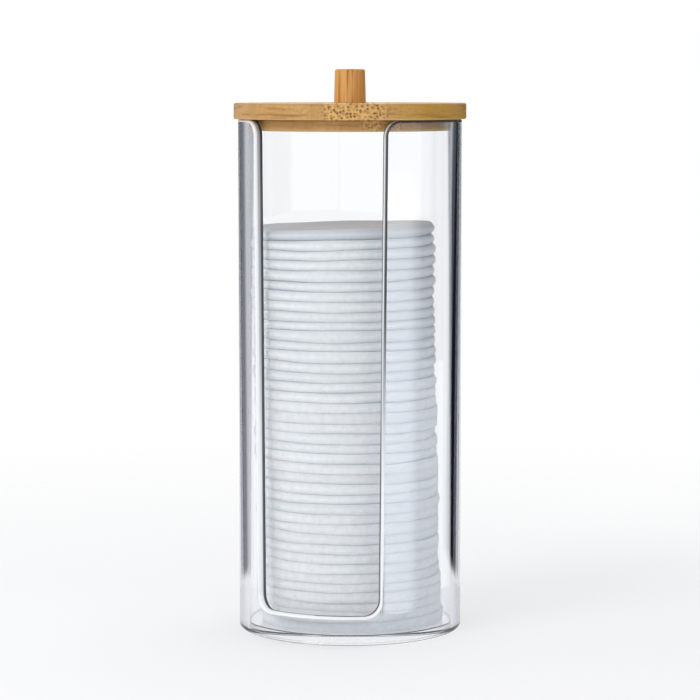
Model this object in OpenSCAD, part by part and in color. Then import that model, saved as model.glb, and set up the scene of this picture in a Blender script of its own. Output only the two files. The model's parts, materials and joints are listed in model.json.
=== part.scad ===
// Clear tube holder for round cotton pads, with a front slot and a bamboo lid.
// Millimetres. +Z is up, the slot faces -Y, and the origin is the middle of the foot.

/* [Pads] */
// Diameter of a cotton pad
pad_d = 58; // [50:0.5:70]
// Thickness of a pad as it lies in the stack
pad_t = 3.1; // [2.5:0.1:3.6]
// How much thicker or thinner one pad may be than the next
pad_t_vary = 0.25; // [0:0.05:0.5]
// How much smaller than pad_d the smallest pad is
pad_d_vary = 0.6; // [0:0.1:1.5]
// Number of pads in the stack
pad_count = 40; // [2:1:42]
// How far a pad lies out of line with the stack, at most
pad_stray = 0.35; // [0:0.05:0.6]
// Gap between the most leaning pad and the tube
pad_wall_gap = 0.4; // [0.3:0.1:1]
// How far the lowest pad lies off the axis, away from the lean
lean_foot = 0.8; // [0:0.1:1.5]
// Direction in which the stack leans, in degrees from +X
lean_dir = 199; // [0:1:360]
// Number that sets the order of the pads' small differences
pad_seed = 25; // [1:1:99]

/* [Tube] */
// Room around a pad, from its edge to the bore
pad_room = 3; // [2:0.1:6]
// Wall of the tube
tube_wall = 3; // [2:0.1:5]
// Height of the tube
tube_h = 160; // [150:1:220]
// Rounding of the outer edge at the foot
foot_round = 1; // [0.2:0.1:1.5]
// Rounding of both edges at the rim
rim_round = 0.6; // [0.2:0.1:0.9]

/* [Slot] */
// Angle that the slot takes out of the rim
slot_angle = 74; // [50:1:100]
// How much narrower the slot is at its sill than at the rim
slot_taper = 3; // [0:0.5:8]
// Height of the slot's sill above the foot
slot_sill = 9; // [5:0.5:30]
// Radius of the slot's lower corners
slot_corner_r = 5; // [2:0.5:9]
// Radius of the slot's corners at the rim
slot_mouth_r = 5; // [2:0.5:9]

/* [Base] */
// Thickness of the base disc
base_t = 3; // [2:0.1:6]
// Glue line between the base disc and the tube
bond_gap = 0.05; // [0.02:0.01:0.1]

/* [Lid] */
// How far the lid plate stands out past the tube
lid_overhang = 1.3; // [0.5:0.1:4]
// Thickness of the lid plate
plate_t = 5; // [3:0.1:8]
// Rounding of the lid plate's edges
plate_round = 0.6; // [0.2:0.1:1.2]
// Thickness of the plug that drops into the tube
plug_t = 3.5; // [3:0.1:6]
// Clearance between the plug and the bore
plug_gap = 0.5; // [0.3:0.1:1]
// Rounding of the plug's lower edge
plug_round = 0.8; // [0.2:0.1:1.2]

/* [Knob] */
// Diameter of the knob where it meets the plate
knob_d = 10; // [8:0.1:20]
// How much narrower the knob is at its top
knob_taper = 0.6; // [0:0.1:1.5]
// Height of the knob
knob_h = 10.5; // [8:0.5:25]
// Rounding of the knob's top edge
knob_round = 0.7; // [0.2:0.1:1.5]

/* [Screw] */
// Diameter of the screw's shank
screw_d = 3; // [2.5:0.1:3.5]
// Diameter of the screw's countersunk head
screw_head_d = 6; // [5:0.1:7]
// Height of the head's cone
screw_head_h = 1.8; // [1.2:0.1:2.4]
// Length of the screw that stands in the knob
screw_bite = 6; // [4:0.5:7]
// Length of the screw's point
screw_point = 2.5; // [1:0.5:3.5]
// Width of the cross recess
recess_w = 0.8; // [0.5:0.1:1.1]
// Length of the cross recess
recess_l = 3; // [2:0.1:4]
// Depth of the cross recess
recess_depth = 1; // [0.5:0.1:1.2]
// Play around the shank in the plate and the plug
shank_play = 0.2; // [0.1:0.05:0.5]
// Gap between the screw and the wood that it seats in
screw_gap = 0.05; // [0.02:0.01:0.1]
// Length of the pilot hole past the screw's point
pilot_spare = 0.5; // [0.5:0.1:1]

/* [Hidden] */
$fn = 96;
pad_r = pad_d / 2;
bore_r = pad_r + pad_room;
tube_r = bore_r + tube_wall;
plate_r = tube_r + lid_overhang;
plug_r = bore_r - plug_gap;
plug_z = tube_h - plug_t;
knob_z = tube_h + plate_t;
knob_r = knob_d / 2;
knob_top_r = knob_r - knob_taper / 2;
screw_r = screw_d / 2;
head_r = screw_head_d / 2;
screw_l = plug_t + plate_t + screw_bite;
slot_half = slot_angle / 2;
// Lean of the slot's sides, and where a side is at height z, from its place at the rim
slot_lean = atan(slot_taper / 2 / (tube_h - slot_sill));
function side_x(z) = -(tube_h - z) * tan(slot_lean);
// Each half of the cut reaches past the middle of the slot and stops short of the other face
slot_reach = (tube_r * sin(slot_half) + bore_r * sin(slot_angle)) / 2;
// How far the round corners run into the slot's sides, so that the two cross and don't just touch
corner_bite = 0.002;
// How far a cutter runs past the solid that it cuts
past = 1;
reach = 2 * tube_r;

// The pads' small differences, each from -1 to 1, in the order that pad_seed gives
thick_noise = rands(-1, 1, pad_count, pad_seed);
size_noise = rands(-1, 1, pad_count, pad_seed + 1);
side_noise = rands(-1, 1, pad_count, pad_seed + 2);
depth_noise = rands(-1, 1, pad_count, pad_seed + 3);

// The stack leans until its top pad is pad_wall_gap from the bore
lean_top = pad_room - pad_wall_gap - pad_stray;

// Thickness, height, radius and lean of the pad numbered i, from 1 at the bottom
function pad_thick(i) = pad_t + pad_t_vary * thick_noise[i - 1];
function pad_z(i) = i <= 1 ? base_t : pad_z(i - 1) + pad_thick(i - 1);
function pad_radius(i) = pad_r - pad_d_vary * (1 + size_noise[i - 1]) / 4;
function climb(i) = (i - 1) / max(1, pad_count - 1);
function pad_lean(i) = -lean_foot + (lean_top + lean_foot) * sqrt(climb(i));
function pad_name(i) = str("pad_", i < 10 ? "0" : "", i);

// Half profile of a ring whose corners are rounded: r_low outside at the bottom, r_top at the rim
module ring_profile(r_in, r_out, h, r_low, r_top) {
    translate([r_in, r_low]) square([r_out - r_in, h - r_low - r_top]);
    translate([r_in, 0]) square([r_out - r_in - r_low, 2 * r_low]);
    translate([r_in + r_top, h - 2 * r_top]) square([r_out - r_in - 2 * r_top, 2 * r_top]);
    translate([r_out - r_low, r_low]) circle(r_low);
    translate([r_in + r_top, h - r_top]) circle(r_top);
    translate([r_out - r_top, h - r_top]) circle(r_top);
}

// Half profile of a disc of radius r whose outer edges are rounded
module disc_profile(r, h, r_low, r_top) {
    translate([0, r_low]) square([r, h - r_low - r_top]);
    translate([0, 0]) square([r - r_low, h / 2]);
    translate([0, h / 2]) square([r - r_top, h / 2]);
    translate([r - r_low, r_low]) circle(r_low);
    translate([r - r_top, h - r_top]) circle(r_top);
}

// Outline of one half of the slot, seen along its radial cut face, which meets the rim at x = 0
module slot_outline() {
    corner_z = slot_sill + slot_corner_r;
    corner_x = side_x(corner_z) - slot_corner_r / cos(slot_lean);
    touch_z = corner_z - slot_corner_r * sin(slot_lean);
    polygon([
        [-slot_reach, slot_sill],
        [corner_x, slot_sill],
        [corner_x, corner_z],
        [side_x(touch_z), touch_z],
        [side_x(tube_h + past), tube_h + past],
        [-slot_reach, tube_h + past]
    ]);
    translate([corner_x, corner_z]) circle(slot_corner_r + corner_bite);
    // At the rim the cut face turns outward, so that the corner of the wall is round
    mouth_z = tube_h - slot_mouth_r;
    mouth_x = side_x(mouth_z) + slot_mouth_r / cos(slot_lean);
    leave_z = mouth_z + slot_mouth_r * sin(slot_lean);
    difference() {
        translate([side_x(leave_z) - past, leave_z])
            square([mouth_x - side_x(leave_z) + past, tube_h + past - leave_z]);
        translate([mouth_x, mouth_z]) circle(slot_mouth_r + corner_bite);
    }
}

// One half of the slot, carried outward along the cut face
module slot_half_cut() {
    rotate([0, 0, slot_half]) rotate([90, 0, 0]) linear_extrude(reach) slot_outline();
}

module tube() {
    color("lightsteelblue", 0.4)
    difference() {
        rotate_extrude() ring_profile(bore_r, tube_r, tube_h, foot_round, rim_round);
        slot_half_cut();
        mirror([1, 0, 0]) slot_half_cut();
    }
}

module base_disc() {
    color("aliceblue", 0.5)
    cylinder(r = bore_r - bond_gap, h = base_t);
}

module lid_plate() {
    color("burlywood")
    difference() {
        translate([0, 0, tube_h])
            rotate_extrude() disc_profile(plate_r, plate_t, plate_round, plate_round);
        translate([0, 0, tube_h - past])
            cylinder(r = screw_r + shank_play, h = plate_t + 2 * past);
    }
}

module lid_plug() {
    color("tan")
    difference() {
        translate([0, 0, plug_z]) rotate_extrude() {
            square([plug_r - plug_round, plug_t]);
            translate([0, plug_round]) square([plug_r, plug_t - plug_round]);
            translate([plug_r - plug_round, plug_round]) circle(plug_round);
        }
        translate([0, 0, plug_z - past]) cylinder(r = screw_r + shank_play, h = plug_t + 2 * past);
        // The countersink has the slope of the head, screw_gap outside it
        translate([0, 0, plug_z])
            cylinder(r1 = head_r + screw_gap, r2 = screw_r + screw_gap, h = screw_head_h);
    }
}

module knob() {
    color("peru")
    difference() {
        translate([0, 0, knob_z]) rotate_extrude() {
            polygon([
                [0, 0],
                [knob_r, 0],
                [knob_top_r, knob_h - knob_round],
                [0, knob_h - knob_round]
            ]);
            square([knob_top_r - knob_round, knob_h]);
            translate([knob_top_r - knob_round, knob_h - knob_round]) circle(knob_round);
        }
        translate([0, 0, knob_z - past])
            cylinder(r = screw_r + screw_gap, h = screw_bite + pilot_spare + past);
    }
}

module knob_screw() {
    color("silver")
    translate([0, 0, plug_z])
    difference() {
        rotate_extrude()
            polygon([
                [0, 0],
                [head_r, 0],
                [screw_r, screw_head_h],
                [screw_r, screw_l - screw_point],
                [0, screw_l]
            ]);
        for (turn = [0, 90]) rotate([0, 0, turn])
            translate([-recess_l / 2, -recess_w / 2, -past])
                cube([recess_l, recess_w, recess_depth + past]);
    }
}

// A soft disc with a full round edge, lying at its place in the leaning stack
module pad(i) {
    t = pad_thick(i);
    r = pad_radius(i);
    along = pad_lean(i) + pad_stray * side_noise[i - 1];
    color("whitesmoke")
    rotate([0, 0, lean_dir])
    translate([along, pad_stray * depth_noise[i - 1], pad_z(i)])
    rotate_extrude() {
        square([r - t / 2, t]);
        translate([r - t / 2, t / 2]) circle(t / 2);
    }
}

tube();
base_disc();
lid_plate();
lid_plug();
knob();
knob_screw();
for (i = [1 : pad_count]) pad(i);
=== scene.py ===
import json
import math
import bpy
import numpy as np
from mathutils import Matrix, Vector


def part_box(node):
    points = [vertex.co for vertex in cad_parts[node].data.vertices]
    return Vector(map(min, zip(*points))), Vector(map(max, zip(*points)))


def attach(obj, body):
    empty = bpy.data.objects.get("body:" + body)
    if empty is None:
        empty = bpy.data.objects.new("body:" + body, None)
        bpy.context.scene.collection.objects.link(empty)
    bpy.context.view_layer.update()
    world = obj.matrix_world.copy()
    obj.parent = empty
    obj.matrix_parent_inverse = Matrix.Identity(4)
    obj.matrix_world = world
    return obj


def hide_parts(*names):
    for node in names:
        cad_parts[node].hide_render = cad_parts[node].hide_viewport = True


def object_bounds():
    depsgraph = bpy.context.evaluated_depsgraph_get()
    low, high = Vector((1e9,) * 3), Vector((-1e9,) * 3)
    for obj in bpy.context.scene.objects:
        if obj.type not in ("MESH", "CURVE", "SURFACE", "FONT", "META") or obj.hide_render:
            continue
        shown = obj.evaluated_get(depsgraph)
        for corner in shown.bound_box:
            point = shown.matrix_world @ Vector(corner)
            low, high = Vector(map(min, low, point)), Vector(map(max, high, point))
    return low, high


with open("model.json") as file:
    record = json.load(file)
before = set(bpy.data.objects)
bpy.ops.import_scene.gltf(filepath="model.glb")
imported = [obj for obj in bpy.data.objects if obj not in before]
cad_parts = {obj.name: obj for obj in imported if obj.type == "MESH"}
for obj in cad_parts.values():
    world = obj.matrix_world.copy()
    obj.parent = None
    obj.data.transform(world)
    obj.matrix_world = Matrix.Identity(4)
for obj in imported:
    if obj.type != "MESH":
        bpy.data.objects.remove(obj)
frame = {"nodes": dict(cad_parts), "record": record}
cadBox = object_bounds()
bodyOf = {node: body for body, nodes in frame["record"]["behaviour"]["bodies"].items() for node in nodes}
mm = 0.001  # the frame is in metres, the dictionaries below are in millimetres


def cadSpan(node):
    # Centre x, centre y, radius, lowest z and highest z of an upright round node, in millimetres
    low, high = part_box(node)
    low, high = np.array(low) / mm, np.array(high) / mm
    middle = (low + high) / 2
    return middle[0], middle[1], (high[0] - low[0]) / 2, low[2], high[2]


def addMark(mesh, name, values):
    mesh.attributes.new(name, "FLOAT", "POINT").data.foreach_set("value", values.astype(np.float32))


def newObject(name, data):
    made = bpy.data.objects.new(name, data)
    bpy.context.scene.collection.objects.link(made)
    return made


def meshPiece(name, points, normals, faces, *materials):
    # A smooth mesh at the origin, from points in millimetres and unit normals, or None for the mesh's own
    mesh = bpy.data.meshes.new(name)
    mesh.from_pydata((points * mm).tolist(), [], faces)
    mesh.shade_smooth()
    if normals is not None:
        mesh.normals_split_custom_set_from_vertices(normals.tolist())
    for material in materials:
        mesh.materials.append(material)
    return newObject(name, mesh)


def gridFaces(rows, columns, rowsClosed, columnsClosed=True):
    # Quads between neighbouring rows and columns, where point (r, c) has the index r * columns + c
    r = np.arange(rows if rowsClosed else rows - 1)[:, None]
    c = np.arange(columns if columnsClosed else columns - 1)[None, :]
    rNext, cNext = (r + 1) % rows, (c + 1) % columns
    corners = [r * columns + c, r * columns + cNext, rNext * columns + cNext, rNext * columns + c]
    return np.stack(np.broadcast_arrays(*corners), axis=-1).reshape(-1, 4).tolist()


def cappedFaces(rows, segments):
    # Closed rings, and a fan at each end to a pole. The two poles follow the rings' points.
    faces = gridFaces(rows, segments, rowsClosed=False)
    count, k = rows * segments, np.arange(segments)
    kNext, lastRow = (k + 1) % segments, count - segments
    faces += np.stack([np.full(segments, count), kNext, k], axis=1).tolist()
    faces += np.stack([np.full(segments, count + 1), lastRow + k, lastRow + kNext], axis=1).tolist()
    return faces


def easedProfile(corners, steps=7):
    # Corners (r, z, easing radius), joined by straight lines. An eased corner is an arc that touches both
    # lines: centre + sin((1-u)a)/sin(a) * start + sin(u a)/sin(a) * end. The outside is to the right.
    # Gives the points, their normals and a mark: 1 in the middle of an upper arc, -1 in that of a lower one.
    corners = np.array(corners, float)
    closed = corners[0, 0] > 0
    points, normals, marks = [], [], []
    for k, (r, z, ease) in enumerate(corners):
        here = np.array([r, z])
        before = corners[k - 1, :2] if closed or k else here
        after = corners[(k + 1) % len(corners), :2] if closed or k < len(corners) - 1 else here
        inward = (here - before) / max(np.linalg.norm(here - before), 1e-9)
        onward = (after - here) / max(np.linalg.norm(after - here), 1e-9)
        if ease == 0:  # a pole
            run = inward if k else onward
            points.append(here[None])
            normals.append(np.array([[run[1], -run[0]]]))
            marks.append(np.zeros(1))
            continue
        sideA, sideB = np.array([inward[1], -inward[0]]), np.array([onward[1], -onward[0]])
        a = math.acos(np.clip(sideA @ sideB, -1, 1))
        u = np.linspace(0, 1, steps + 1)[:, None]
        turned = (np.sin((1 - u) * a) * sideA + np.sin(u * a) * sideB) / math.sin(a)
        # outer is 1 at an outer corner and -1 at an inner one
        outer = np.sign(inward[0] * onward[1] - inward[1] * onward[0])
        centre = here - inward * ease * math.tan(a / 2) - outer * sideA * ease
        points.append(centre + outer * turned * ease)
        normals.append(turned)
        marks.append(np.sin(u[:, 0] * math.pi) * np.sign(turned[:, 1].mean()))
    return np.vstack(points), np.vstack(normals), np.concatenate(marks)


def turnedPiece(name, corners, material, segments=256):
    # An eased profile turned about the upright axis: x = r cos t, y = r sin t
    profile, profileNormals, marks = easedProfile(corners)
    poled = profile[0, 0] == 0
    ring = slice(1, -1) if poled else slice(None)
    t = np.linspace(0, 2 * math.pi, segments, endpoint=False)
    around = np.stack([np.cos(t), np.sin(t)], axis=-1)

    def turn(pairs):
        flat = pairs[:, None, :1] * around
        up = np.broadcast_to(pairs[:, None, 1:], flat[..., :1].shape)
        return np.concatenate([flat, up], axis=-1).reshape(-1, 3)

    points, normals = turn(profile[ring]), turn(profileNormals[ring])
    rows = len(profile[ring])
    if poled:
        faces = cappedFaces(rows, segments)
        points = np.vstack([points, [[0, 0, profile[0, 1]], [0, 0, profile[-1, 1]]]])
        normals = np.vstack([normals, [[0, 0, -1], [0, 0, 1]]])
    else:
        faces = gridFaces(rows, segments, rowsClosed=True)
    piece = meshPiece(name, points, normals, faces, material)
    addMark(piece.data, "eased", np.concatenate([np.repeat(marks[ring], segments), np.zeros(2 * poled)]))
    return piece


def shaderNode(tree, kind, inputs=(), **settings):
    # A node whose inputs are given as plain values or as sockets to link from
    made = tree.nodes.new(kind)
    for key, value in settings.items():
        setattr(made, key, value)
    for key, value in dict(inputs).items():
        if isinstance(value, bpy.types.NodeSocket):
            tree.links.new(value, made.inputs[key])
        else:
            made.inputs[key].default_value = value
    return made


def math2(tree, operation, a, b=0.0, clamp=False):
    return shaderNode(tree, "ShaderNodeMath", {0: a, 1: b}, operation=operation, use_clamp=clamp).outputs[0]


def plus(tree, a, b, clamp=False):
    return math2(tree, "ADD", a, b, clamp)


def minus(tree, a, b, clamp=False):
    return math2(tree, "SUBTRACT", a, b, clamp)


def times(tree, a, b):
    return math2(tree, "MULTIPLY", a, b)


def over(tree, a, b):
    return math2(tree, "DIVIDE", a, b)


def mixColour(tree, factor, a, b):
    return shaderNode(tree, "ShaderNodeMix", {"Factor": factor, 6: a, 7: b}, data_type="RGBA").outputs[2]


def ease(tree, value, low, high):
    # 0 below low, 1 above high, and smooth between
    inputs = {"Value": value, 1: low, 2: high}
    return shaderNode(tree, "ShaderNodeMapRange", inputs, interpolation_type="SMOOTHSTEP").outputs[0]


def vectorMath(tree, operation, a, b):
    return shaderNode(tree, "ShaderNodeVectorMath", {0: a, 1: b}, operation=operation).outputs[0]


def stretch(tree, place, scale):
    return shaderNode(tree, "ShaderNodeMapping", {"Vector": place, "Scale": scale}).outputs[0]


def split(tree, vector):
    return shaderNode(tree, "ShaderNodeSeparateXYZ", {0: vector}).outputs


def noise(tree, place, scale, detail, roughness=0.5, distortion=0.0):
    inputs = {"Vector": place, "Scale": scale, "Detail": detail}
    inputs.update({"Roughness": roughness, "Distortion": distortion})
    return shaderNode(tree, "ShaderNodeTexNoise", inputs).outputs


def objectPlace(tree):
    return shaderNode(tree, "ShaderNodeTexCoord").outputs["Object"]


def readMark(tree, name):
    # What addMark put on the mesh
    return shaderNode(tree, "ShaderNodeAttribute", attribute_name=name).outputs["Fac"]


def addBump(tree, shader, height, strength, distance):
    bump = shaderNode(tree, "ShaderNodeBump", {"Height": height, "Strength": strength, "Distance": distance})
    tree.links.new(bump.outputs[0], shader.inputs["Normal"])


def shine(tree, colour):
    return shaderNode(tree, "ShaderNodeEmission", {"Color": colour, "Strength": 1.0}).outputs[0]


def mixShader(tree, factor, a, b):
    return shaderNode(tree, "ShaderNodeMixShader", {0: factor, 1: a, 2: b}).outputs[0]


def newMaterial(name):
    material = bpy.data.materials.new(name)
    material.use_nodes = True
    tree = material.node_tree
    tree.nodes.clear()
    shader = tree.nodes.new("ShaderNodeBsdfPrincipled")
    output = tree.nodes.new("ShaderNodeOutputMaterial")
    tree.links.new(shader.outputs[0], output.inputs["Surface"])
    return material, tree, shader, output


def newGroup(name, inputs, outputs):
    # inputs and outputs give the names of the sockets under their kind
    group = bpy.data.node_groups.new(name, "ShaderNodeTree")
    for direction, sockets in (("INPUT", inputs), ("OUTPUT", outputs)):
        for kind, labels in sockets.items():
            for label in labels:
                group.interface.new_socket(label, in_out=direction, socket_type="NodeSocket" + kind)
    return group, group.nodes.new("NodeGroupInput").outputs, group.nodes.new("NodeGroupOutput").inputs


print("tools ready")

# The camera: level with the lid, and to the right of the slot
view = {"azimuth": 19, "distance": 850, "height": 171, "aim": 87.5, "objectShare": 0.80}
lowest, highest = cadBox[0][2] / mm, cadBox[1][2] / mm
viewTurn = math.radians(view["azimuth"])
cameraData = bpy.data.cameras.new("camera")
cameraData.lens = cameraData.sensor_width * view["distance"] * view["objectShare"] / (highest - lowest)
camera = newObject("camera", cameraData)
flat = np.array([math.sin(viewTurn), -math.cos(viewTurn)]) * view["distance"]
camera.location = (flat[0] * mm, flat[1] * mm, view["height"] * mm)
tilt = math.atan2(view["height"] - view["aim"], view["distance"])
camera.rotation_euler = (math.pi / 2 - tilt, 0, viewTurn)
bpy.context.scene.camera = camera

print("camera set")

# Bamboo: boards glued from strips, with dark fibre bundles that are dots on the end grain and streaks
# along it. The group's x is along the grain, y across the strips and z across the board. Lengths are in
# metres here. A pair is where something begins and where it is full.
grain = {
    "bendScale": 18.0, "bend": 0.0008, "middleTone": 0.45, "shadedMost": 0.8,
    "streakScale": (28.0, 900.0, 900.0), "streak": (0.35, 0.7), "streakMost": 0.6,
    "layerScale": (55.0, 55.0, 1100.0), "layer": (0.5, 0.68),
    "cellStretch": 0.012, "crumpleScale": 2.2, "crumple": (0.0, 0.45, 0.45), "cellRandomness": 0.9,
    "dotLeast": 0.22, "dotSpread": 0.3, "dotEdge": (0.5, 1.2), "dotKept": (0.1, 0.4),
    "denseEdge": (0.7, 1.15), "sparse": 0.14, "pith": (0.38, 0.7), "pithMost": 0.7,
    "knuckleSpacing": 0.085, "knuckleShift": 7.3, "knuckle": (0.006, 0.022), "knuckleMost": 0.55,
    "glue": (0.475, 0.5), "upperMost": 0.5, "upperDark": 0.3, "lowerHighlightMost": 0.4,
    "roughness": 0.42, "streakRoughness": 0.12, "dotRoughness": 0.15,
    "streakHeight": 0.35, "dotDepth": 0.5, "glueDepth": 0.6, "bump": 0.35, "bumpHeight": 0.0002,
    "specular": 0.3, "lacquerRoughness": 0.3,
}
grainColours = ("Pale", "Warm", "Green", "Dot", "Pith", "Layer")
bambooGroup, put, get = newGroup("bambooBoard", {
    "Vector": ("Place",),
    "Color": grainColours,
    "Float": ("Strip Width", "Strip Draw", "Strip Contrast", "Joint Strength", "Dot Spacing", "Dot Strength",
              "Dense Middle", "Dense Reach", "Layer Strength", "Shaded Start", "Shaded Reach", "Eased"),
}, {"Color": ("Color",), "Float": ("Roughness", "Height")})
tree = bambooGroup
axes = split(tree, put["Place"])
slowBend = noise(tree, put["Place"], grain["bendScale"], 1.0)["Fac"]
across = plus(tree, axes["Y"], times(tree, minus(tree, slowBend, 0.5), grain["bend"]))
strips = over(tree, across, put["Strip Width"])
stripIndex = math2(tree, "FLOOR", strips)
stripPlace = math2(tree, "FRACT", strips)
stripKey = plus(tree, stripIndex, put["Strip Draw"])
stripDraw = shaderNode(tree, "ShaderNodeTexWhiteNoise", {"W": stripKey}, noise_dimensions="1D").outputs
# Each strip has its own tone, and slow streaks run along it
stripTone = times(tree, minus(tree, stripDraw["Value"], 0.5), put["Strip Contrast"])
tone = mixColour(tree, plus(tree, stripTone, grain["middleTone"], clamp=True), put["Pale"], put["Warm"])
# Painted shade: the board turns darker and more olive towards the side of the view away from the light
fromShaded = over(tree, minus(tree, axes["Y"], put["Shaded Start"]), put["Shaded Reach"])
shadedShare = times(tree, ease(tree, fromShaded, 0.0, 1.0), grain["shadedMost"])
tone = mixColour(tree, shadedShare, tone, put["Green"])
along = stretch(tree, put["Place"], grain["streakScale"])
streak = noise(tree, along, 1.0, 3.0, roughness=0.6)["Fac"]
streakShare = ease(tree, streak, *grain["streak"])
tone = mixColour(tree, times(tree, streakShare, grain["streakMost"]), tone, put["Warm"])
# Thin layers lie one over the other through the board, and show as lines round its rim
flatLaid = stretch(tree, put["Place"], grain["layerScale"])
layer = noise(tree, flatLaid, 1.0, 3.0, roughness=0.65)["Fac"]
layerShare = times(tree, ease(tree, layer, *grain["layer"]), put["Layer Strength"])
tone = mixColour(tree, layerShare, tone, put["Layer"])
# Fibre bundles: long cells, dark at the middle, with sizes that differ and some left out
spacing = over(tree, 1.0, put["Dot Spacing"])
lengthways = times(tree, spacing, grain["cellStretch"])
cellScale = shaderNode(tree, "ShaderNodeCombineXYZ", {"X": lengthways, "Y": spacing, "Z": spacing}).outputs[0]
cellPlace = vectorMath(tree, "MULTIPLY", put["Place"], cellScale)
crumple = noise(tree, cellPlace, grain["crumpleScale"], 2.0)["Color"]
cellPlace = vectorMath(tree, "ADD", cellPlace, vectorMath(tree, "MULTIPLY", crumple, grain["crumple"]))
cellInputs = {"Vector": cellPlace, "Scale": 1.0, "Randomness": grain["cellRandomness"]}
cells = shaderNode(tree, "ShaderNodeTexVoronoi", cellInputs).outputs
cellDraw = split(tree, cells["Color"])
dotSize = plus(tree, grain["dotLeast"], times(tree, cellDraw["X"], grain["dotSpread"]))
dots = minus(tree, 1.0, ease(tree, over(tree, cells["Distance"], dotSize), *grain["dotEdge"]))
dots = times(tree, dots, ease(tree, cellDraw["Y"], *grain["dotKept"]))
# They are dense in the middle strips, which come from near the outside of the cane, and sparse elsewhere
fromMiddle = math2(tree, "ABSOLUTE", minus(tree, axes["Y"], put["Dense Middle"]))
dense = minus(tree, 1.0, ease(tree, over(tree, fromMiddle, put["Dense Reach"]), *grain["denseEdge"]))
dots = times(tree, dots, plus(tree, grain["sparse"], times(tree, dense, 1 - grain["sparse"])))
pithShare = times(tree, ease(tree, cells["Distance"], *grain["pith"]), times(tree, dense, grain["pithMost"]))
tone = mixColour(tree, pithShare, tone, put["Pith"])
tone = mixColour(tree, times(tree, dots, put["Dot Strength"]), tone, put["Dot"])
# The cane's knuckles: a darker bar across each strip, at its own place
knuckleShift = times(tree, stripDraw["Value"], grain["knuckleShift"])
knucklePlace = plus(tree, over(tree, axes["X"], grain["knuckleSpacing"]), knuckleShift)
knuckle = math2(tree, "ABSOLUTE", minus(tree, math2(tree, "FRACT", knucklePlace), 0.5))
knuckle = minus(tree, 1.0, ease(tree, knuckle, *grain["knuckle"]))
tone = mixColour(tree, times(tree, knuckle, grain["knuckleMost"]), tone, put["Warm"])
# The glue lines between strips
glueShare = ease(tree, math2(tree, "ABSOLUTE", minus(tree, stripPlace, 0.5)), *grain["glue"])
tone = mixColour(tree, times(tree, glueShare, put["Joint Strength"]), tone, put["Dot"])
# The eased edges: darker above, and paler below, which is a painted highlight
upper = times(tree, math2(tree, "MAXIMUM", put["Eased"], 0.0), grain["upperMost"])
lower = times(tree, math2(tree, "MAXIMUM", times(tree, put["Eased"], -1.0), 0.0), grain["lowerHighlightMost"])
tone = mixColour(tree, upper, tone, mixColour(tree, grain["upperDark"], put["Warm"], put["Dot"]))
tone = mixColour(tree, lower, tone, put["Pith"])
tree.links.new(tone, get["Color"])
rough = plus(tree, grain["roughness"], times(tree, streakShare, grain["streakRoughness"]))
tree.links.new(plus(tree, rough, times(tree, dots, grain["dotRoughness"])), get["Roughness"])
relief = minus(tree, times(tree, streak, grain["streakHeight"]), times(tree, dots, grain["dotDepth"]))
tree.links.new(minus(tree, relief, times(tree, glueShare, grain["glueDepth"])), get["Height"])


def bambooMaterial(name, look):
    material, tree, shader, output = newMaterial(name)
    coordinates = shaderNode(tree, "ShaderNodeTexCoord").outputs
    turn = (0, 0, math.radians(look["turn"]))
    turned = shaderNode(tree, "ShaderNodeMapping", {
        "Vector": coordinates["Object"], "Location": look["shift"], "Rotation": turn,
    })
    laid = shaderNode(tree, "ShaderNodeMapping", {
        "Vector": turned.outputs[0], "Rotation": (0, math.pi / 2 if look["upright"] else 0, 0),
    })
    # The layers show round the upright sides, and not on the flat faces, which lie along them
    upright = minus(tree, 1.0, math2(tree, "ABSOLUTE", split(tree, coordinates["Normal"])["Z"]))
    values = {
        "Place": laid.outputs[0], "Eased": readMark(tree, "eased"),
        "Layer Strength": times(tree, upright, look["layers"]), "Dot Strength": look["dotStrength"],
        "Joint Strength": look["joint"], "Strip Draw": look["draw"], "Strip Contrast": look["contrast"],
        "Strip Width": look["strip"] * mm, "Dot Spacing": look["dotSpacing"] * mm,
        "Dense Middle": look["denseMiddle"] * mm, "Dense Reach": look["denseReach"] * mm,
        "Shaded Start": look["shadedStart"] * mm, "Shaded Reach": look["shadedReach"] * mm,
    }
    for label in grainColours:
        values[label] = (*look[label.lower()], 1)
    board = shaderNode(tree, "ShaderNodeGroup", values, node_tree=bambooGroup).outputs
    tree.links.new(board["Color"], shader.inputs["Base Color"])
    tree.links.new(board["Roughness"], shader.inputs["Roughness"])
    addBump(tree, shader, board["Height"], grain["bump"], grain["bumpHeight"])
    shader.inputs["Specular IOR Level"].default_value = grain["specular"]
    shader.inputs["Coat Weight"].default_value = look["lacquer"]
    shader.inputs["Coat Roughness"].default_value = grain["lacquerRoughness"]
    return material


# The lid: a plate on the rim, and a plug glued under it that drops into the bore
lidLook = {
    "plateEase": 0.6, "plugEase": 0.8, "plugTop": 0.4, "edge": 0.12,
    "screwHole": 1.7, "headHole": 3.05, "shankAtHead": 1.55, "headDepth": 1.8,
}
_, _, plateRadius, plateLow, plateHigh = cadSpan("lid_plate")
_, _, plugRadius, plugLow, plugHigh = cadSpan("lid_plug")
plateBamboo = bambooMaterial("bambooPlate", {
    "turn": 71, "upright": False, "shift": (0, 0, 0), "strip": 11.5, "joint": 0.08, "lacquer": 0.08,
    "contrast": 0.4, "shadedStart": 6, "shadedReach": 22, "layers": 0.8, "layer": (0.34, 0.17, 0.04),
    "dotSpacing": 1.0, "dotStrength": 0.85, "denseMiddle": 1.5, "denseReach": 10, "draw": 3,
    "pale": (0.72, 0.42, 0.15), "warm": (0.50, 0.27, 0.085), "green": (0.60, 0.32, 0.011),
    "dot": (0.12, 0.05, 0.007), "pith": (0.90, 0.54, 0.17),
})
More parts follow.
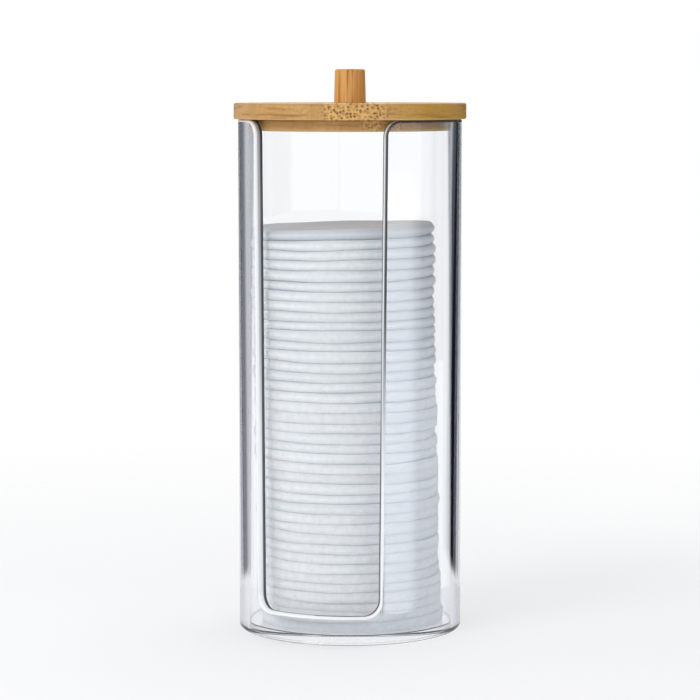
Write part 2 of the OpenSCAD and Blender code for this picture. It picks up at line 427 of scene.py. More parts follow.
plugBamboo = bambooMaterial("bambooPlug", {
    "turn": 56, "upright": False, "shift": (0.003, 0.002, 0), "strip": 9, "joint": 0.08, "lacquer": 0.05,
    "contrast": 0.4, "shadedStart": 12, "shadedReach": 20, "layers": 0.7, "layer": (0.34, 0.17, 0.045),
    "dotSpacing": 0.95, "dotStrength": 0.55, "denseMiddle": 4, "denseReach": 7, "draw": 20,
    "pale": (0.66, 0.40, 0.15), "warm": (0.48, 0.27, 0.09), "green": (0.42, 0.28, 0.06),
    "dot": (0.13, 0.06, 0.012), "pith": (0.76, 0.48, 0.19),
})
plate = turnedPiece("lidPlate", [
    (lidLook["screwHole"], plateHigh, lidLook["edge"]),
    (lidLook["screwHole"], plateLow, lidLook["edge"]),
    (plateRadius, plateLow, lidLook["plateEase"]),
    (plateRadius, plateHigh, lidLook["plateEase"]),
], plateBamboo)
headSlope = lidLook["headDepth"] / (lidLook["headHole"] - lidLook["shankAtHead"])
seatTop = plugLow + headSlope * (lidLook["headHole"] - lidLook["screwHole"])
plug = turnedPiece("lidPlug", [
    (lidLook["screwHole"], plugHigh, lidLook["edge"]),
    (lidLook["screwHole"], seatTop, lidLook["edge"]),
    (lidLook["headHole"], plugLow, lidLook["edge"]),
    (plugRadius, plugLow, lidLook["plugEase"]),
    (plugRadius, plugHigh, lidLook["plugTop"]),
], plugBamboo)
for piece, node in ((plate, "lid_plate"), (plug, "lid_plug")):
    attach(piece, bodyOf[node])
    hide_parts(node)
print("lid done")

# The knob, its blind hole and the screw that comes up into it
knobLook = {"taper": 0.3, "ease": 0.7, "edge": 0.15, "hole": 1.55, "holeDepth": 6.5, "holeEase": 0.1}
_, _, knobRadius, knobLow, knobHigh = cadSpan("knob")
knobBamboo = bambooMaterial("bambooKnob", {
    "turn": 71, "upright": True, "shift": (0, 0.001, 0), "strip": 2.5, "joint": 0.6, "lacquer": 0.1,
    "contrast": 1.2, "shadedStart": 1, "shadedReach": 6, "layers": 0.4, "layer": (0.44, 0.20, 0.05),
    "dotSpacing": 0.8, "dotStrength": 0.5, "denseMiddle": 0, "denseReach": 3, "draw": 6,
    "pale": (0.88, 0.46, 0.11), "warm": (0.56, 0.24, 0.045), "green": (0.76, 0.44, 0.14),
    "dot": (0.20, 0.09, 0.02), "pith": (0.80, 0.48, 0.18),
})
knob = turnedPiece("knobPost", [
    (0, knobLow + knobLook["holeDepth"], 0),
    (knobLook["hole"], knobLow + knobLook["holeDepth"], knobLook["holeEase"]),
    (knobLook["hole"], knobLow, knobLook["holeEase"]),
    (knobRadius, knobLow, knobLook["edge"]),
    (knobRadius - knobLook["taper"], knobHigh, knobLook["ease"]),
    (0, knobHigh, 0),
], knobBamboo, segments=128)
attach(knob, bodyOf["knob"])
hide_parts("knob")

screwLook = {
    "dark": (0.50, 0.50, 0.49), "pale": (0.66, 0.65, 0.63), "ringScale": (900.0, 900.0, 9000.0),
    "roughness": 0.24, "ringRoughness": 0.2, "bump": 0.2, "bumpHeight": 0.00005,
}
screwSteel, tree, shader, output = newMaterial("screwSteel")
rings = noise(tree, stretch(tree, objectPlace(tree), screwLook["ringScale"]), 1.0, 2.0)["Fac"]
steelTone = mixColour(tree, rings, (*screwLook["dark"], 1), (*screwLook["pale"], 1))
tree.links.new(steelTone, shader.inputs["Base Color"])
rough = plus(tree, screwLook["roughness"], times(tree, rings, screwLook["ringRoughness"]))
tree.links.new(rough, shader.inputs["Roughness"])
addBump(tree, shader, rings, screwLook["bump"], screwLook["bumpHeight"])
shader.inputs["Metallic"].default_value = 1.0
screw = frame["nodes"]["knob_screw"]
for slot in screw.material_slots:
    slot.material = screwSteel
print("knob and screw done")

# Clear acrylic. The outside of the wall turns dark and a little blue where it is seen at a slant: painted
# shade that stands in for the dark edges of a real wall
acrylicLook = {
    "clear": (0.985, 0.99, 1.0), "shade": (0.93, 0.94, 0.96), "ior": 1.49,
    "haze": 0.012, "hazeScale": 60.0, "hazeEdge": (0.45, 0.8),
    "edgeShadePaint": [(0.36, (0.97, 0.98, 0.995)), (0.52, (0.88, 0.90, 0.94)), (0.62, (0.72, 0.75, 0.81)),
                (0.74, (0.46, 0.49, 0.56)), (0.88, (0.36, 0.39, 0.46))],
}
# The sawn and polished ends of the wall, painted with the light they show: a painted highlight at the
# outside, and a painted dark reflection along the inner edge. The left one has a grey middle that clears
# towards the foot, and the right one a second painted dark line near the rim.
cutPaintedLight = {
    "left": [(0.0, (0.93, 0.94, 0.96)), (0.20, (0.97, 0.98, 0.99)), (0.32, (0.52, 0.53, 0.55)),
             (0.52, (0.42, 0.43, 0.45)), (0.62, (0.035, 0.04, 0.05)), (1.0, (0.02, 0.022, 0.03))],
    "right": [(0.0, (0.03, 0.03, 0.035)), (0.10, (0.10, 0.10, 0.11)), (0.22, (0.96, 0.97, 0.98)),
              (0.46, (0.92, 0.93, 0.95)), (0.60, (0.05, 0.055, 0.07)), (1.0, (0.02, 0.022, 0.03))],
    "leftLow": [(0.0, (0.97, 0.98, 0.99)), (0.46, (0.93, 0.94, 0.96)), (0.60, (0.05, 0.055, 0.07)),
                (1.0, (0.02, 0.022, 0.03))],
    "rightLow": [(0.0, (0.97, 0.98, 0.99)), (0.26, (0.93, 0.94, 0.96)), (0.38, (0.05, 0.055, 0.07)),
                 (1.0, (0.02, 0.022, 0.03))],
    "clearFrom": 110, "clearTo": 40, "sideBlend": 1, "roughness": 0.3, "sawScale": 700.0, "sawRoughness": 0.1,
}


def colourRamp(tree, value, stops):
    ramp = shaderNode(tree, "ShaderNodeValToRGB", {0: value})
    ramp.color_ramp.elements.remove(ramp.color_ramp.elements[1])
    for k, (place, colour) in enumerate(stops):
        stop = ramp.color_ramp.elements.new(place) if k else ramp.color_ramp.elements[0]
        stop.position, stop.color = place, (*colour, 1)
    return ramp.outputs[0]


def acrylicMaterial(name, look, paintsEdgeShade):
    material, tree, shader, output = newMaterial(name)
    if paintsEdgeShade:
        # Painted shade: darker where the outside of the wall is seen at a slant
        facing = shaderNode(tree, "ShaderNodeLayerWeight", {"Blend": 0.5}).outputs["Facing"]
        edgeShadePaint = colourRamp(tree, facing, look["edgeShadePaint"])
        colour = mixColour(tree, readMark(tree, "wallDepth"), edgeShadePaint, (*look["clear"], 1))
        tree.links.new(colour, shader.inputs["Base Color"])
    else:
        shader.inputs["Base Color"].default_value = (*look["clear"], 1)
    haze = noise(tree, objectPlace(tree), look["hazeScale"], 3.0)["Fac"]
    haze = ease(tree, haze, *look["hazeEdge"])
    tree.links.new(times(tree, haze, look["haze"]), shader.inputs["Roughness"])
    shader.inputs["IOR"].default_value = look["ior"]
    shader.inputs["Transmission Weight"].default_value = 1.0
    through = shaderNode(tree, "ShaderNodeBsdfTransparent", {"Color": (*look["shade"], 1)})
    shadowRay = shaderNode(tree, "ShaderNodeLightPath").outputs["Is Shadow Ray"]
    mixed = mixShader(tree, shadowRay, shader.outputs[0], through.outputs[0])
    tree.links.new(mixed, output.inputs["Surface"])
    return material


wallAcrylic = acrylicMaterial("wallAcrylic", acrylicLook, paintsEdgeShade=True)
discAcrylic = acrylicMaterial("discAcrylic", acrylicLook, paintsEdgeShade=False)
# The cut faces are opaque, and their colour holds painted highlights and painted dark reflections
cutAcrylicPaintedLight, tree, shader, output = newMaterial("cutAcrylicPaintedLight")
depth, place = readMark(tree, "wallDepth"), objectPlace(tree)
ramps = {key: colourRamp(tree, depth, cutPaintedLight[key]) for key in ("left", "right", "leftLow", "rightLow")}
cutAxes = split(tree, place)
cutSide = ease(tree, cutAxes["X"], -cutPaintedLight["sideBlend"] * mm, cutPaintedLight["sideBlend"] * mm)
cutPaintedTone = mixColour(tree, cutSide, ramps["left"], ramps["right"])
lowPaintedTone = mixColour(tree, cutSide, ramps["leftLow"], ramps["rightLow"])
cleared = minus(tree, 1.0, ease(tree, cutAxes["Z"], cutPaintedLight["clearTo"] * mm, cutPaintedLight["clearFrom"] * mm))
tree.links.new(mixColour(tree, cleared, cutPaintedTone, lowPaintedTone), shader.inputs["Base Color"])
sawMarks = noise(tree, place, cutPaintedLight["sawScale"], 2.0)["Fac"]
rough = plus(tree, cutPaintedLight["roughness"], times(tree, sawMarks, cutPaintedLight["sawRoughness"]))
tree.links.new(rough, shader.inputs["Roughness"])

# The tube. One loop runs along the rim and round the slot's outline, unrolled as (s, z), with s the way
# round the outside. The wall hangs from the loop: its section goes up the outside, over the edge, down the
# inside and back under the foot, and a point at depth d lies at radius R - d and angle s / R.
tubeLook = {
    "wall": 3, "slotAngle": 74, "slotTaper": 3, "sill": 9, "cornerRadius": 5, "mouthRadius": 5,
    "edge": 0.8, "footOuter": 1, "footInner": 0.3, "rows": 22, "arc": 7, "innerArc": 4,
    "cornerSteps": 16, "sillSteps": 24, "sideSteps": 48, "rimSteps": 180,
}


def slotLoop(look, radius, height):
    # Places (s, z) and outward directions, from the middle of the sill to the middle of the back
    lean = math.atan(look["slotTaper"] / 2 / (height - look["sill"]))
    corner, mouth = look["cornerRadius"], look["mouthRadius"]
    rimS = radius * math.radians(look["slotAngle"] / 2)

    def sideS(z):
        return rimS - (height - z) * math.tan(lean)

    cornerAt = np.array([sideS(look["sill"] + corner) - corner / math.cos(lean), look["sill"] + corner])
    mouthAt = np.array([sideS(height - mouth) + mouth / math.cos(lean), height - mouth])
    leanTurn = math.degrees(lean)

    def arc(centre, size, start, end, steps):
        t = np.radians(np.linspace(start, end, steps + 1))
        ray = np.stack([np.cos(t), np.sin(t)], axis=1)
        return centre + size * ray, ray

    def line(start, end, steps):
        u = np.linspace(0, 1, steps + 1)[1:-1, None]
        return start + (end - start) * u

    cornerArc, cornerRay = arc(cornerAt, corner, -90, -leanTurn, look["cornerSteps"])
    mouthArc, mouthRay = arc(mouthAt, mouth, 180 - leanTurn, 90, look["cornerSteps"])
    front, back = np.array([0, look["sill"]]), np.array([math.pi * radius, height])
    sill = np.vstack([[front], line(front, cornerArc[0], look["sillSteps"])])
    side = line(cornerArc[-1], mouthArc[0], look["sideSteps"])
    rim = np.vstack([line(mouthArc[-1], back, look["rimSteps"]), [back]])
    up, across = np.array([[0, 1]]), np.array([[-math.cos(lean), math.sin(lean)]])
    places = np.vstack([sill, cornerArc, side, mouthArc, rim])
    outward = np.vstack([
        np.repeat(up, len(sill), axis=0), -cornerRay, np.repeat(across, len(side), axis=0),
        mouthRay, np.repeat(up, len(rim), axis=0),
    ])
    # Under the sides the wall fans out a little, so that each column has its own place at the foot
    fan = np.arange(len(sill) + len(cornerArc) - 1, len(places) - len(rim))
    foot = places[:, 0].copy()
    foot[fan] = np.linspace(foot[fan[0]], foot[fan[-1]], len(fan))
    return places, outward, foot


def makeTube(look):
    _, _, radius, low, high = cadSpan("tube")
    places, outward, foot = slotLoop(look, radius, high)
    mirror = slice(len(places) - 2, 0, -1)
    places = np.vstack([places, places[mirror] * [-1, 1]])
    outward = np.vstack([outward, outward[mirror] * [-1, 1]])
    foot = np.concatenate([foot, -foot[mirror]])
    count, edge, wall = len(places), look["edge"], look["wall"]
    inset = places - outward * edge
    rows = []  # each is s, z, depth, and the normal's parts: outward, away from the loop, and down

    def addRow(*values):
        rows.append(np.stack([np.broadcast_to(v, count) for v in values]))

    def addWall(shares, footEase, depth, facing):
        # Rows between the foot, where the share is 0, and the loop, where it is 1
        for v in shares:
            z = footEase + (inset[:, 1] - footEase) * v
            addRow(foot + (inset[:, 0] - foot) * v, z, depth, facing, 0, 0)

    for a in np.linspace(0, math.pi / 2, look["arc"]):
        size = look["footOuter"]
        addRow(foot, size * (1 - math.cos(a)), size * (1 - math.sin(a)), math.sin(a), 0, math.cos(a))
    addWall(np.linspace(0, 1, look["rows"] + 1)[1:-1], look["footOuter"], 0, 1)
    cutStart = len(rows)
    for side in (0, 1):
        for a in np.linspace(0, math.pi / 2, look["arc"]) + side * math.pi / 2:
            reach = places - outward * edge * (1 - math.sin(a))
            depth = edge * (1 - math.cos(a)) if side == 0 else wall - edge * (1 + math.cos(a))
            addRow(reach[:, 0], reach[:, 1], depth, math.cos(a), math.sin(a), 0)
    cutEnd = len(rows) - 1
    addWall(np.linspace(1, 0, look["rows"] + 1)[1:-1], look["footInner"], wall, -1)
    for a in np.linspace(0, math.pi / 2, look["innerArc"]):
        size = look["footInner"]
        addRow(foot, size * (1 - math.sin(a)), wall - size * (1 - math.cos(a)), -math.cos(a), 0, math.sin(a))
    s, z, depth, outer, away, down = np.stack(rows, axis=1)
    t = s / radius
    points = np.stack([(radius - depth) * np.sin(t), -(radius - depth) * np.cos(t), z + low], axis=-1)
    sideways = away * outward[:, 0]
    normals = np.stack([
        outer * np.sin(t) + sideways * np.cos(t),
        -outer * np.cos(t) + sideways * np.sin(t),
        away * outward[:, 1] - down,
    ], axis=-1)
    faces = gridFaces(len(rows), count, rowsClosed=True)
    points, normals = points.reshape(-1, 3), normals.reshape(-1, 3)
    piece = meshPiece("tubeWall", points, normals, faces, wallAcrylic, cutAcrylicPaintedLight)
    addMark(piece.data, "wallDepth", (depth / wall).ravel())
    slots = np.zeros(len(faces), np.int32)
    slots[cutStart * count:cutEnd * count] = 1
    piece.data.polygons.foreach_set("material_index", slots)
    return piece


tube = makeTube(tubeLook)
discLook = {"ease": 0.3}
_, _, discRadius, discLow, discHigh = cadSpan("base_disc")
disc = turnedPiece("baseDisc", [
    (0, discLow, 0),
    (discRadius, discLow, discLook["ease"]),
    (discRadius, discHigh, discLook["ease"]),
    (0, discHigh, 0),
], discAcrylic)
for piece, node in ((tube, "tube"), (disc, "base_disc")):
    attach(piece, bodyOf[node])
    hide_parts(node)
print("tube and base done")

# Cotton: soft white fibre with a fine tangle, and a pressed waffle on both faces
cottonLook = {
    "white": (0.90, 0.925, 0.945), "shade": (0.78, 0.81, 0.84), "groove": (0.62, 0.665, 0.70),
    "face": (0.72, 0.79, 0.87), "fibre": 2600.0, "twist": 1.5, "fibreHeight": 0.35,
    "clump": 520.0, "clumpShade": (0.3, 0.65), "clumpMost": 0.6,
    "waffle": 3.4, "waffleEdge": 0.4, "waffleDepth": 0.5, "bump": 0.5, "bumpHeight": 0.0004,
    "roughness": 0.95, "specular": 0.2, "glow": 0.7, "glowReach": 1.2, "sheen": 0.25, "sheenRoughness": 0.6,
}
cottonFibre, tree, shader, output = newMaterial("cottonFibre")
place = objectPlace(tree)
fine = noise(tree, place, cottonLook["fibre"], 3.0, distortion=cottonLook["twist"])["Fac"]
clump = noise(tree, place, cottonLook["clump"], 4.0, roughness=0.65)["Fac"]
padMap = shaderNode(tree, "ShaderNodeUVMap", uv_map="padFace").outputs[0]
padAxes = split(tree, vectorMath(tree, "MULTIPLY", padMap, (math.pi / cottonLook["waffle"],) * 3))
waves = [math2(tree, "ABSOLUTE", math2(tree, "SINE", padAxes[axis])) for axis in ("X", "Y")]
waffle = math2(tree, "POWER", times(tree, *waves), cottonLook["waffleEdge"])
onFace = readMark(tree, "onFace")
waffleHere = times(tree, waffle, onFace)
shadeShare = minus(tree, 1.0, ease(tree, clump, *cottonLook["clumpShade"]))
shadeShare = times(tree, shadeShare, cottonLook["clumpMost"])
cottonTone = mixColour(tree, shadeShare, (*cottonLook["white"], 1), (*cottonLook["shade"], 1))
# Painted shade: the flat faces are greyer and bluer, for the lid's shade over the top of the stack
cottonTone = mixColour(tree, onFace, cottonTone, (*cottonLook["face"], 1))
# The groove mark darkens the rim: painted shade towards the grooves where pads meet, a random tone per pad,
# and painted shade of the lid on the top pad
cottonTone = mixColour(tree, readMark(tree, "groove"), cottonTone, (*cottonLook["groove"], 1))
tree.links.new(cottonTone, shader.inputs["Base Color"])
height = plus(tree, times(tree, fine, cottonLook["fibreHeight"]), clump)
height = plus(tree, height, times(tree, waffleHere, cottonLook["waffleDepth"]))
addBump(tree, shader, height, cottonLook["bump"], cottonLook["bumpHeight"])
shader.inputs["Roughness"].default_value = cottonLook["roughness"]
shader.inputs["Specular IOR Level"].default_value = cottonLook["specular"]
shader.inputs["Subsurface Weight"].default_value = cottonLook["glow"]
shader.inputs["Subsurface Radius"].default_value = (1.0, 1.0, 1.0)
shader.inputs["Subsurface Scale"].default_value = cottonLook["glowReach"] * mm
shader.inputs["Sheen Weight"].default_value = cottonLook["sheen"]
shader.inputs["Sheen Roughness"].default_value = cottonLook["sheenRoughness"]

# The pads. Pad k lies between the stack's surfaces k-1 and k, which both of its neighbours share, and each
# surface rises and falls by slow waves that are nothing at the bottom and grow towards the rim.
padLook = {
    "segments": 288, "faceRings": 6, "edgeSteps": 12, "roundness": 1.6, "gap": 0.02, "seed": 11,
    "waveMost": 0.7, "waveCounts": (1, 2, 3, 5, 8), "waveSizes": (0.34, 0.24, 0.18, 0.14, 0.1),
    "tilt": 1.0, "tiltTurn": 19, "tiltPower": 8, "rimWander": 0.25, "rimCounts": (2, 3, 5, 8, 13),
    "grooveLeast": 0.1, "grooveDeep": 0.5, "deepPower": 4, "grooveCounts": (1, 3, 6), "grooveShade": 0.8,
    "looseCount": 16, "looseLeast": 0.85, "looseTurn": 12, "looseSpread": 0.1,
    "toneSpread": 0.2, "topPadLidShade": 0.6, "toneStart": 0.7, "toneReach": 0.3,
    "shadeStart": 0.05, "shadePower": 1.1,
    "tuft": 0.07, "tuftWaves": 26, "tuftCounts": (18, 120), "tuftRise": 5,
}
padNodes = sorted(node for node in bodyOf if node.startswith("pad_"))
spans = np.array([cadSpan(node) for node in padNodes])
draw = np.random.default_rng(padLook["seed"])
waveTurns = draw.uniform(0, 2 * math.pi, (len(padNodes) + 1, 5))
waveSizes = draw.uniform(0.2, 1.0, (len(padNodes) + 1, 5)) * padLook["waveSizes"]
waveSizes[0] = 0
rimTurns = draw.uniform(0, 2 * math.pi, (len(padNodes), 5))
rimSizes = draw.uniform(0.1, 1.0, (len(padNodes), 5))
faceTurns = draw.uniform(0, math.pi, len(padNodes))
grooveTurns = draw.uniform(0, 2 * math.pi, (len(padNodes) + 1, 3))
grooveShares = draw.uniform(0.25, 1.0, len(padNodes) + 1)
# The loose pads on top have open grooves, and most so in the direction looseTurn
loose = slice(-padLook["looseCount"], None)
grooveShares[loose] = grooveShares[loose].clip(padLook["looseLeast"])
looseTurns = math.radians(padLook["looseTurn"]) * np.array(padLook["grooveCounts"])
grooveTurns[loose] = padLook["looseSpread"] * grooveTurns[loose] - looseTurns
padTonesAndLidShade = draw.uniform(0, padLook["toneSpread"], len(padNodes))
padTonesAndLidShade[-1] = padLook["topPadLidShade"]  # the lid's shade
tuftCounts = draw.integers(*padLook["tuftCounts"], padLook["tuftWaves"])
tuftRises = draw.uniform(-padLook["tuftRise"], padLook["tuftRise"], padLook["tuftWaves"])
tuftTurns = draw.uniform(0, 2 * math.pi, (len(padNodes), padLook["tuftWaves"]))


def surfaceWave(k, x, y, radius):
    # most * (r / R)^2 * the sum of size * cos(n t + turn) over the counts n, and the topmost surfaces lean:
    # tilt * (k / last)^power * (r / R) * cos(t - tiltTurn)
    t, r = np.arctan2(y, x), np.hypot(x, y)
    waves = zip(padLook["waveCounts"], waveSizes[k], waveTurns[k])
    wave = sum(size * np.cos(n * t + turn) for n, size, turn in waves)
    lean = padLook["tilt"] * (k / len(padNodes)) ** padLook["tiltPower"] * r / radius
    lean = lean * np.cos(t - math.radians(padLook["tiltTurn"]))
    return padLook["waveMost"] * np.clip(r / radius, 0, 1) ** 2 * wave + lean


def grooveDepth(k, t):
    # The groove at surface k as a share of half a pad's thickness. It changes slowly round the rim, and the
    # loose pads on top have the deepest: deep + (1 - deep) * (k / last)^power
    swing = sum(np.cos(n * t + turn) for n, turn in zip(padLook["grooveCounts"], grooveTurns[k])) / 3
    deep, least = padLook["grooveDeep"], padLook["grooveLeast"]
    deep = deep + (1 - deep) * (k / len(padNodes)) ** padLook["deepPower"]
    return deep * grooveShares[k] * (least + (1 - least) * (0.5 + 0.5 * swing))


def makePad(k, name):
    x0, y0, radius, low, high = spans[k]
    look = padLook
    t = np.linspace(0, 2 * math.pi, look["segments"], endpoint=False)
    waves = zip(look["rimCounts"], rimSizes[k], rimTurns[k])
    wander = sum(size * np.cos(n * t + turn) for n, size, turn in waves)
    rim = radius - look["rimWander"] * (0.5 + 0.5 * wander / rimSizes[k].sum())
    half = (high - low) / 2
    # Along a section: the lower face from the middle out, the round edge, and the upper face back in
    flatShare = np.linspace(0, 1, look["faceRings"] + 1)[1:]
    a = np.linspace(-math.pi / 2, math.pi / 2, look["edgeSteps"] + 1)
    face = np.ones(len(flatShare) - 1)
    out = np.concatenate([flatShare[:-1], np.ones(len(a)), flatShare[-2::-1]])
    bulge = np.concatenate([0 * face, np.cos(a).clip(0) ** look["roundness"], 0 * face])
    level = np.concatenate([-face, np.sin(a), face])
    groove = half * np.where(level[:, None] < 0, grooveDepth(k, t), grooveDepth(k + 1, t))
    r = out[:, None] * (rim - groove) + bulge[:, None] * groove
    # Small tufts push the round edge in: the sum of cos(n t + m level + turn) over many n and m
    tufts = sum(np.cos(n * t + rise * level[:, None] + turn)
                for n, rise, turn in zip(tuftCounts, tuftRises, tuftTurns[k])) / math.sqrt(look["tuftWaves"])
    r = r - look["tuft"] * bulge[:, None] * (1 + tufts)
    x, y = x0 + r * np.cos(t), y0 + r * np.sin(t)
    floor = low + surfaceWave(k, x, y, radius) + look["gap"] / 2
    roof = high + surfaceWave(k + 1, x, y, radius) - look["gap"] / 2
    z = (floor + roof) / 2 + level[:, None] * (roof - floor) / 2
    poles = [[x0, y0, low + look["gap"] / 2], [x0, y0, high - look["gap"] / 2]]
    points = np.vstack([np.stack([x, y, z], axis=-1).reshape(-1, 3), poles])
    piece = meshPiece(name, points, None, cappedFaces(len(r), look["segments"]), cottonFibre)
    mesh = piece.data
    faceMarks = np.repeat(np.where(bulge > 0.01, 0.0, 1.0), look["segments"])
    addMark(mesh, "onFace", np.concatenate([faceMarks, [1.0, 1.0]]))
    # The shade near a groove: nothing at the middle of the round edge, and most where two pads meet
    start = look["shadeStart"]
    shade = np.clip((abs(level[:, None]) - start) / (1 - start), 0, 1) ** look["shadePower"]
    shade = shade * look["grooveShade"] * groove / half / look["grooveDeep"]
    nearRim = np.clip((out[:, None] - look["toneStart"]) / look["toneReach"], 0, 1)
    # Each pad's random tone is added, and on the top pad the painted shade of the lid
    shade = (shade + padTonesAndLidShade[k]) * nearRim
    addMark(mesh, "groove", np.concatenate([shade.ravel().clip(0, 1), [0.0, 0.0]]))
    corner = np.empty(len(mesh.loops), np.int32)
    mesh.loops.foreach_get("vertex_index", corner)
    turn = faceTurns[k]
    u = (points[:, 0] - x0) * math.cos(turn) - (points[:, 1] - y0) * math.sin(turn)
    v = (points[:, 0] - x0) * math.sin(turn) + (points[:, 1] - y0) * math.cos(turn)
    mesh.uv_layers.new(name="padFace").data.foreach_set("uv", np.stack([u, v], axis=1)[corner].ravel())
    return piece


for k, node in enumerate(padNodes):
    pad = makePad(k, node.replace("pad_", "cottonPad"))
    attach(pad, bodyOf[node])
    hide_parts(node)
print(len(padNodes), "pads done")

# The studio: a pale floor that fades into a white background, and soft lamps
studio = {
    "floorRadius": 1.5, "floorSegments": 96, "floorDrop": 0.0002, "fadeFrom": 0.12, "fadeTo": 0.5,
    "floorColour": (0.92, 0.92, 0.93), "floorRoughness": 0.8, "floorLift": 0.5,
    "ambient": 0.7, "ambientColour": (0.97, 0.98, 1.0),
}
t = np.linspace(0, 2 * math.pi, studio["floorSegments"], endpoint=False)
floorPoints = np.stack([np.cos(t), np.sin(t), 0 * t], axis=1) * studio["floorRadius"]
floorMesh = bpy.data.meshes.new("floor")
floorPoints = (floorPoints - [0, 0, studio["floorDrop"]]).tolist()
floorMesh.from_pydata(floorPoints, [], [list(range(studio["floorSegments"]))])
floor = newObject("floor", floorMesh)
floorPaint, tree, shader, output = newMaterial("floorPaint")
away = shaderNode(tree, "ShaderNodeVectorMath", {0: objectPlace(tree)}, operation="LENGTH").outputs["Value"]
fade = ease(tree, away, studio["fadeFrom"], studio["fadeTo"])
shader.inputs["Base Color"].default_value = (*studio["floorColour"], 1)
shader.inputs["Roughness"].default_value = studio["floorRoughness"]
shader.inputs["Specular IOR Level"].default_value = 0.0


def seenBySight(tree):
    # Gives 1 for a ray from the camera, from a reflection or through glass, and the path's own outputs
    path = shaderNode(tree, "ShaderNodeLightPath").outputs
    seen = plus(tree, path["Is Camera Ray"], path["Is Glossy Ray"], clamp=True)
    return plus(tree, seen, path["Is Transmission Ray"], clamp=True), path


seen, path = seenBySight(tree)
white = shine(tree, (1, 1, 1, 1))
lifted = mixShader(tree, times(tree, seen, studio["floorLift"]), shader.outputs[0], white)
clear = shaderNode(tree, "ShaderNodeBsdfTransparent").outputs[0]
tree.links.new(mixShader(tree, fade, lifted, clear), output.inputs["Surface"])
floorMesh.materials.append(floorPaint)

world = bpy.data.worlds.new("studio")
world.use_nodes = True
tree = world.node_tree
tree.nodes.clear()
seen, path = seenBySight(tree)
seen = minus(tree, seen, path["Diffuse Depth"], clamp=True)  # light on the pads stays soft
ambientInputs = {"Color": (*studio["ambientColour"], 1), "Strength": studio["ambient"]}
ambient = shaderNode(tree, "ShaderNodeBackground", ambientInputs).outputs[0]
white = shaderNode(tree, "ShaderNodeBackground", {"Color": (1, 1, 1, 1), "Strength": 1.0}).outputs[0]
worldOutput = tree.nodes.new("ShaderNodeOutputWorld")
tree.links.new(mixShader(tree, seen, ambient, white), worldOutput.inputs["Surface"])
bpy.context.scene.world = world


def softLamp(name, place, aim, size, power):
    data = bpy.data.lights.new(name, "AREA")
    data.shape, data.size, data.energy = "DISK", size, power
    lamp = newObject(name, data)
    lamp.location = place
    x, y, z = np.array(aim) - np.array(place)
    lamp.rotation_euler = (math.atan2(math.hypot(x, y), -z), 0, math.atan2(y, x) - math.pi / 2)


lampLook = {
    "keyLamp": {"place": (-0.55, -1.1, 0.75), "aim": (0, 0, 0.08), "size": 0.7, "power": 5.6},
    "topLamp": {"place": (0.1, 0.3, 1.3), "aim": (0, 0, 0.1), "size": 0.8, "power": 4.0},
}
for name, look in lampLook.items():
    softLamp(name, **look)

# Cards close to the tube, out of the camera's sight, that show in its walls. Two stand behind it, square
# to the view, with a dark stripe that leans outwards and ends at the foot. One stands at the right, and
# its pale reflection lies on the wall beside the slot. Sizes are in millimetres from the axis.
cardLook = {
    "behind": 62, "bottom": 0, "top": 200, "stripeTop": 160, "footFade": (0, 5),
    "right": {"near": 40, "far": 170, "stripeHigh": (52, 92), "stripeLow": (69, 150), "soft": (6, 16),
              "before": (1, 1, 1), "stripe": (0.006, 0.009, 0.016), "beyond": (0.45, 0.47, 0.52)},
    "left": {"near": 40, "far": 130, "stripeHigh": (47, 76), "stripeLow": (64, 88), "soft": (6, 24),
             "before": (1, 1, 1), "stripe": (0.05, 0.056, 0.075), "beyond": (0.66, 0.67, 0.70)},
    "flag": {"turnFrom": 95, "turnTo": 150, "reach": 200, "bottom": 70, "top": 400,
             "colour": (0.01, 0.01, 0.01)},
    "sheen": {"turnFrom": 46, "turnTo": 81, "reach": 85, "bottom": 0, "top": 150, "nearSoft": (0, 0.1),
              "farSoft": (0.55, 1), "topSoft": (122, 148), "colour": (4.9, 5.1, 5.5)},
}


def stageCard(name, corners, turn):
    mesh = bpy.data.meshes.new(name)
    mesh.from_pydata([tuple(np.array(corner) * mm) for corner in corners], [], [(0, 1, 2, 3)])
    card = newObject(name, mesh)
    card.rotation_euler = (0, 0, turn)
    material, tree, shader, output = newMaterial(name + "Paint")
    tree.nodes.remove(shader)
    mesh.materials.append(material)
    card.visible_camera = card.visible_shadow = card.visible_diffuse = False
    return card, tree, output


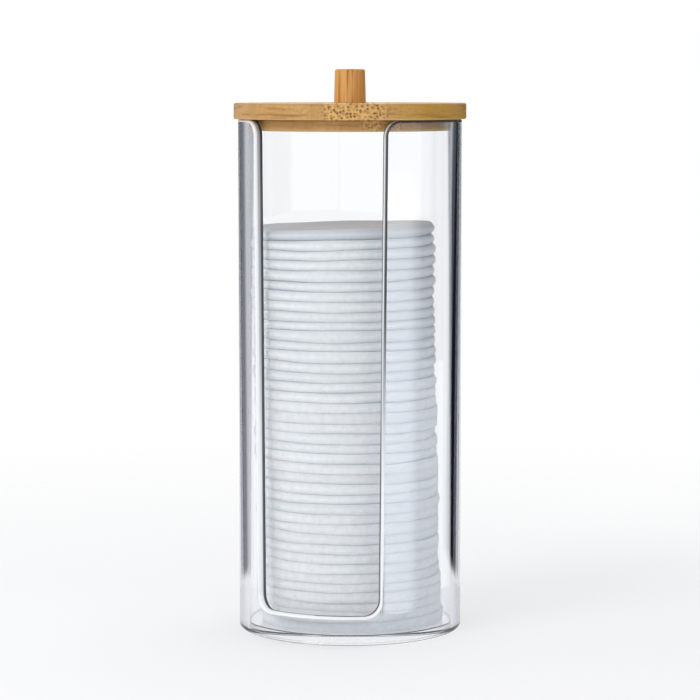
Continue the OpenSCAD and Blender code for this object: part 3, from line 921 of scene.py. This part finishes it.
for side, name in ((1, "right"), (-1, "left")):
    look = cardLook[name]
    near, far, behind = side * look["near"], side * look["far"], cardLook["behind"]
    low, high = cardLook["bottom"], cardLook["top"]
    corners = [(near, behind, low), (far, behind, low), (far, behind, high), (near, behind, high)]
    card, tree, output = stageCard(name + "Card", corners, viewTurn)
    axes = split(tree, objectPlace(tree))
    out = times(tree, axes["X"], side / mm)
    past = []
    for upper, lower, soft in zip(look["stripeHigh"], look["stripeLow"], look["soft"]):
        # How far past the stripe's edge, which leans with height, on a slope as wide as soft
        edge = plus(tree, times(tree, axes["Z"], (upper - lower) / cardLook["stripeTop"] / mm), lower)
        past.append(ease(tree, minus(tree, out, edge), -soft / 2, soft / 2))
    striped = times(tree, past[0], ease(tree, over(tree, axes["Z"], mm), *cardLook["footFade"]))
    tone = mixColour(tree, striped, (*look["before"], 1), (*look["stripe"], 1))
    tone = mixColour(tree, past[1], tone, (*look["beyond"], 1))
    tree.links.new(shine(tree, tone), output.inputs["Surface"])


def sideCard(name, look):
    # An upright card between two directions, which are degrees from the slot's middle towards the right
    turns = np.radians([look["turnFrom"], look["turnTo"]])
    (x1, x2), (y1, y2) = look["reach"] * np.sin(turns), -look["reach"] * np.cos(turns)
    low, high = look["bottom"], look["top"]
    return stageCard(name, [(x1, y1, low), (x2, y2, low), (x2, y2, high), (x1, y1, high)], 0)


# The flag keeps light off the right side of the pads
look = cardLook["flag"]
card, tree, output = sideCard("flagCard", look)
black = shaderNode(tree, "ShaderNodeBsdfDiffuse", {"Color": (*look["colour"], 1)})
tree.links.new(black.outputs[0], output.inputs["Surface"])
card.visible_diffuse, card.visible_glossy = True, False

# The sheen card is bright in its middle, and its sides and top fade out
look = cardLook["sheen"]
card, tree, output = sideCard("sheenCard", look)
card.data.uv_layers.new(name="share").data.foreach_set("uv", [0, 0, 1, 0, 1, 1, 0, 1])
share = split(tree, shaderNode(tree, "ShaderNodeUVMap", uv_map="share").outputs[0])
strength = minus(tree, ease(tree, share["X"], *look["nearSoft"]), ease(tree, share["X"], *look["farSoft"]))
topFade = ease(tree, times(tree, share["Y"], look["top"]), *look["topSoft"])
strength = times(tree, strength, minus(tree, 1.0, topFade))
unlit = shaderNode(tree, "ShaderNodeBsdfTransparent").outputs[0]
sheen = mixShader(tree, strength, unlit, shine(tree, (*look["colour"], 1)))
tree.links.new(sheen, output.inputs["Surface"])
card.visible_transmission = False

bpy.context.scene.view_settings.view_transform = "Standard"
print("studio done")
